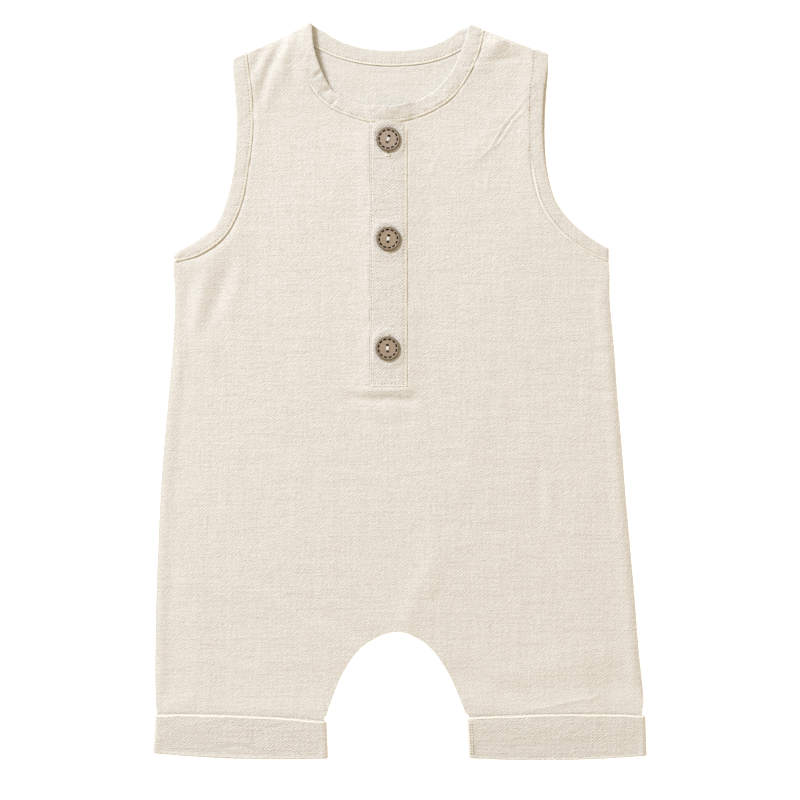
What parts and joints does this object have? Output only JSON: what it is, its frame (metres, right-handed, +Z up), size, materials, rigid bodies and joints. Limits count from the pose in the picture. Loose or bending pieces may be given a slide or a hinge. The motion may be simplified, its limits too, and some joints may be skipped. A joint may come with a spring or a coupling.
{
  "type": "baby romper",
  "caption": "Sleeveless cream cotton-linen baby romper laid flat, round neck with half placket, three wooden buttons, bound armholes and turned-up leg cuffs.",
  "frame": {"origin": "on the resting surface, under the middle of the garment's outline", "axes": "+Y from the hems to the neck, +Z up through the front, +X to the right as seen from above with the neck away from the viewer"},
  "size_m": [0.3066, 0.4571, 0.0076],
  "materials": {
    "cloth_body": "matt slub crepe of cotton and linen, cream",
    "cloth_trim": "the same cloth cut as strips, cream",
    "button_wood": "bare turned wood, satin, with burnt dashes"
  },
  "bodies": {
    "root": {"back": "cloth_body", "front": "cloth_body", "neck_band": "cloth_trim", "armhole_band_left": "cloth_trim", "armhole_band_right": "cloth_trim", "placket_under": "cloth_trim", "placket_upper": "cloth_trim", "cuff_left": "cloth_trim", "cuff_right": "cloth_trim", "button_top": "button_wood", "button_middle": "button_wood", "button_bottom": "button_wood"}
  },
  "joints": []
}
